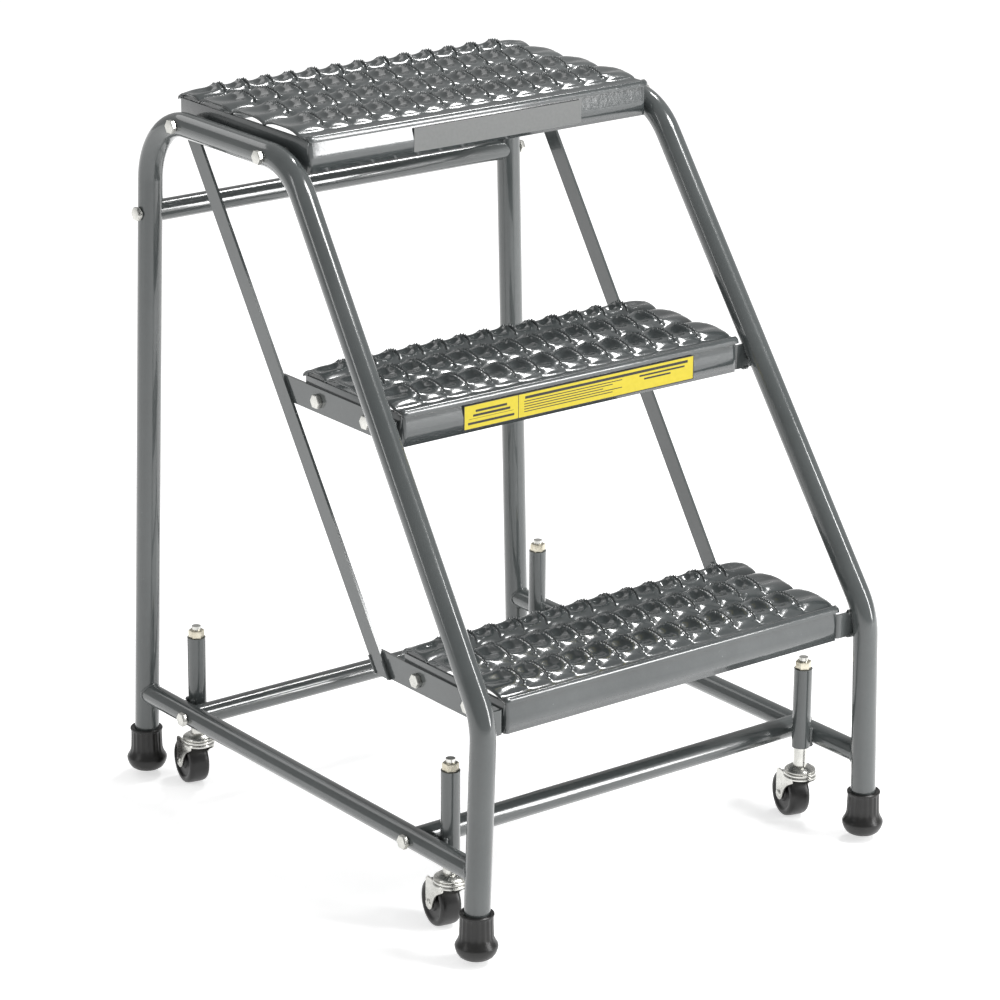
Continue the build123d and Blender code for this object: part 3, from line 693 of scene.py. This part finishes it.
tip_rubber = rubber("tip_rubber", (0.005, 0.005, 0.005, 1.0), (0.014, 0.013, 0.012, 1.0), 0.2)
TIP_PROFILE = [
    (0.0124, 0.0450),
    (0.0140, 0.0458),
    (0.0160, 0.0458),
    (0.0169, 0.0450),
    (0.0170, 0.0436),
    (0.0163, 0.0424),
    (0.0162, 0.0400),
    (0.0163, 0.0340),
    (0.0165, 0.0280),
    (0.0167, 0.0225),
    (0.0176, 0.0190),
    (0.0192, 0.0158),
    (0.0205, 0.0138),
    (0.0209, 0.0120),
    (0.0206, 0.0098),
    (0.0192, 0.0058),
    (0.0168, 0.0022),
    (0.0142, 0.0004),
    (0.0120, 0.0000),
    (0.0000, 0.0000),
]
tips = bmesh.new()
tip_feet = []
for tip_low, tip_high in clusters("foot_tips"):
    tip_feet.append(Vector(((tip_low.x + tip_high.x) / 2, (tip_low.y + tip_high.y) / 2, tip_low.z)))
for tip_foot in tip_feet:
    turned(tips, TIP_PROFILE, tip_foot, (0, 0, 1), (1, 0, 0), SPIN_STEPS)
bmesh.ops.remove_doubles(tips, verts=tips.verts, dist=1e-5)
for vert in tips.verts:
    spot = min(tip_feet, key=lambda place: (place.xy - vert.co.xy).length)
    out = vert.co.xy - spot.xy
    rise = vert.co.z - spot.z
    if FLUTE_FOOT < rise < FLUTE_HEAD and out.length > COLLAR_R:
        groove = FLUTE_DEPTH * (1 - math.cos(FLUTES * math.atan2(out.y, out.x))) / 2
        shrunk = out * (1 - groove / out.length)
        vert.co.x = spot.x + shrunk.x
        vert.co.y = spot.y + shrunk.y
build("rubber_tips", tips, tip_rubber, "stand", ("foot_tips",), sharp=40.0)

# ---- caster sockets and caps ----
# Short lengths of tube welded upright inside the side rails, with a painted cap that the
# spring pushes against. The caster's stem slides in the socket.
dress("frame_enamel", tube_enamel, "socket_caps", *(f"socket_{caster}" for caster in CASTERS))

# ---- casters ----
# Light stem casters: a zinc-plated sleeve on a rod with a lock nut on top, a pressed ball race, a
# pressed steel fork with a riveted axle, and a hard black rubber wheel.
wheel_rubber = rubber("wheel_rubber", (0.006, 0.006, 0.006, 1.0), (0.014, 0.013, 0.013, 1.0), 0.1)
spring_steel = zinc("spring_steel", (0.5, 0.5, 0.5, 1.0), (0.3, 0.3, 0.3, 1.0), 0.1)
joint_places = {joint["name"]: joint for joint in frame["joints"]}
WHEEL_R = 0.024
TYRE_PROFILE = [
    (0.0031, -0.0115),
    (0.0070, -0.0115),
    (0.0080, -0.0108),
    (0.0086, -0.0092),
    (0.0100, -0.0088),
    (0.0150, -0.0088),
    (0.0165, -0.0094),
    (0.0180, -0.0107),
    (0.0194, -0.0110),
    (0.0210, -0.0109),
    (0.0224, -0.0104),
    (0.0233, -0.0093),
    (0.0238, -0.0076),
    (0.0240, -0.0050),
    (0.0240, 0.0),
]
TYRE_PROFILE += [(radius, -along) for radius, along in reversed(TYRE_PROFILE[:-1])]
RACE_PROFILE = [
    (0.0041, 0.0),
    (0.0158, 0.0),
    (0.0164, 0.0006),
    (0.0164, 0.0024),
    (0.0158, 0.0031),
    (0.0148, 0.0033),
    (0.0148, 0.0041),
    (0.0158, 0.0043),
    (0.0161, 0.0050),
    (0.0156, 0.0059),
    (0.0138, 0.0070),
    (0.0114, 0.0084),
    (0.0098, 0.0092),
    (0.0074, 0.0094),
    (0.0041, 0.0094),
]
TYRE_STEPS = 96
RACE_STEPS = 72
RIVET_STEPS = 40
FORK_SHEET = 0.002
CHEEK_GAP = 0.0121
RIVET_R = 0.0046
NUT_FLATS = 0.0143
NUT_CHAMFER = 0.0012

for caster in CASTERS:
    dress("zinc", zinc_plate, f"caster_stem_{caster}")
    dress("zinc", spring_steel, f"stem_spring_{caster}")
    swivel = joint_places[f"swivel_{caster}"]
    roll = joint_places[f"roll_{caster}"]
    pivot = Vector(swivel["pos_m"])
    hub = Vector(roll["pos_m"])
    axle = Vector(roll["axis"]).normalized()
    trail = Vector((hub.x - pivot.x, hub.y - pivot.y, 0.0))
    ahead = trail.normalized()
    stem_body = f"stem_{caster}"
    fork_body = f"fork_{caster}"
    wheel_body = f"wheel_{caster}"

    nut_low, nut_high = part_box(f"stem_nut_{caster}")
    nut_foot = Vector((pivot.x, pivot.y, nut_low.z))
    nut = bmesh.new()
    hexagon(nut, NUT_FLATS, nut_high.z - nut_low.z, nut_foot, Matrix.Identity(4), NUT_CHAMFER)
    build(f"lock_nut_{caster}", nut, nut_zinc, stem_body, (f"stem_nut_{caster}",), sharp=28.0)

    race = bmesh.new()
    race_foot = Vector((pivot.x, pivot.y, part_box(f"caster_race_{caster}")[0].z))
    turned(race, RACE_PROFILE + RACE_PROFILE[:1], race_foot, (0, 0, 1), (1, 0, 0), RACE_STEPS)
    bmesh.ops.remove_doubles(race, verts=race.verts, dist=1e-6)
    build(f"ball_race_{caster}", race, zinc_plate, stem_body, (f"caster_race_{caster}",), sharp=50.0)

    fork_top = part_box(f"caster_fork_{caster}")[1].z
    fork = bmesh.new()
    crown = [
        (0.0041, fork_top - FORK_SHEET),
        (0.0150, fork_top - FORK_SHEET),
        (0.0168, fork_top - FORK_SHEET - 0.0006),
        (0.0170, fork_top - 0.0012),
        (0.0162, fork_top),
        (0.0041, fork_top),
    ]
    pivot_foot = Vector((pivot.x, pivot.y, 0))
    turned(fork, crown + crown[:1], pivot_foot, (0, 0, 1), (1, 0, 0), RACE_STEPS)
    bmesh.ops.remove_doubles(fork, verts=fork.verts, dist=1e-6)
    reach = trail.length
    outline = [
        (-0.0095, fork_top, 0.0),
        (reach + 0.0064, fork_top, 0.004),
        (reach + 0.0066, WHEEL_R + 0.004, 0.006),
        (reach + 0.0046, WHEEL_R - 0.0062, 0.004),
        (reach - 0.0046, WHEEL_R - 0.0062, 0.004),
        (reach - 0.0080, WHEEL_R + 0.004, 0.005),
        (reach - 0.0150, WHEEL_R + 0.0150, 0.009),
        (-0.0060, fork_top - 0.0085, 0.003),
        (-0.0095, fork_top - 0.0060, 0.002),
    ]
    for cheek in (-1, 1):
        side_mesh = bmesh.new()
        root = pivot_foot + axle * (cheek * CHEEK_GAP)
        spots = [
            side_mesh.verts.new(root + ahead * along + Vector((0, 0, height)))
            for along, height, round_r in outline
        ]
        side_mesh.faces.new(spots)
        for vert, (along, height, round_r) in zip(spots, outline):
            if round_r:
                bmesh.ops.bevel(
                    side_mesh,
                    geom=[vert],
                    offset=round_r,
                    segments=5,
                    affect="VERTICES",
                    profile=0.5,
                    material=-1,
                )
        grown = bmesh.ops.extrude_face_region(side_mesh, geom=side_mesh.faces[:])
        moved = [item for item in grown["geom"] if isinstance(item, bmesh.types.BMVert)]
        bmesh.ops.translate(side_mesh, vec=axle * (cheek * FORK_SHEET), verts=moved)
        bmesh.ops.recalc_face_normals(side_mesh, faces=side_mesh.faces)
        bmesh.ops.bevel(
            side_mesh,
            geom=[edge for edge in side_mesh.edges if edge.is_manifold and edge.calc_face_angle() > 1.0],
            offset=0.0004,
            segments=2,
            affect="EDGES",
            profile=0.5,
            material=-1,
        )
        cheek_data = bpy.data.meshes.new("cheek")
        side_mesh.to_mesh(cheek_data)
        side_mesh.free()
        fork.from_mesh(cheek_data)
        bpy.data.meshes.remove(cheek_data)
    build(f"fork_{caster}", fork, zinc_plate, fork_body, (f"caster_fork_{caster}",), sharp=40.0)

    rivet = bmesh.new()
    rivet_half = CHEEK_GAP + FORK_SHEET
    rivet_profile = [
        (0.0, -rivet_half - 0.0018),
        (0.0026, -rivet_half - 0.0017),
        (0.0040, -rivet_half - 0.0011),
        (RIVET_R, -rivet_half),
        (0.0029, -rivet_half),
    ]
    rivet_profile += [(radius, -along) for radius, along in reversed(rivet_profile)]
    turned(rivet, rivet_profile, hub, axle, (0, 0, 1), RIVET_STEPS)
    bmesh.ops.remove_doubles(rivet, verts=rivet.verts, dist=1e-6)
    axle_node = f"caster_axle_{caster}"
    build(f"axle_rivet_{caster}", rivet, zinc_plate, fork_body, (axle_node,), sharp=40.0)

    tyre = bmesh.new()
    turned(tyre, TYRE_PROFILE + TYRE_PROFILE[:1], hub, axle, (0, 0, 1), TYRE_STEPS)
    bmesh.ops.remove_doubles(tyre, verts=tyre.verts, dist=1e-6)
    tyre_node = f"caster_wheel_{caster}"
    build(f"tyre_{caster}", tyre, wheel_rubber, wheel_body, (tyre_node,), sharp=50.0)
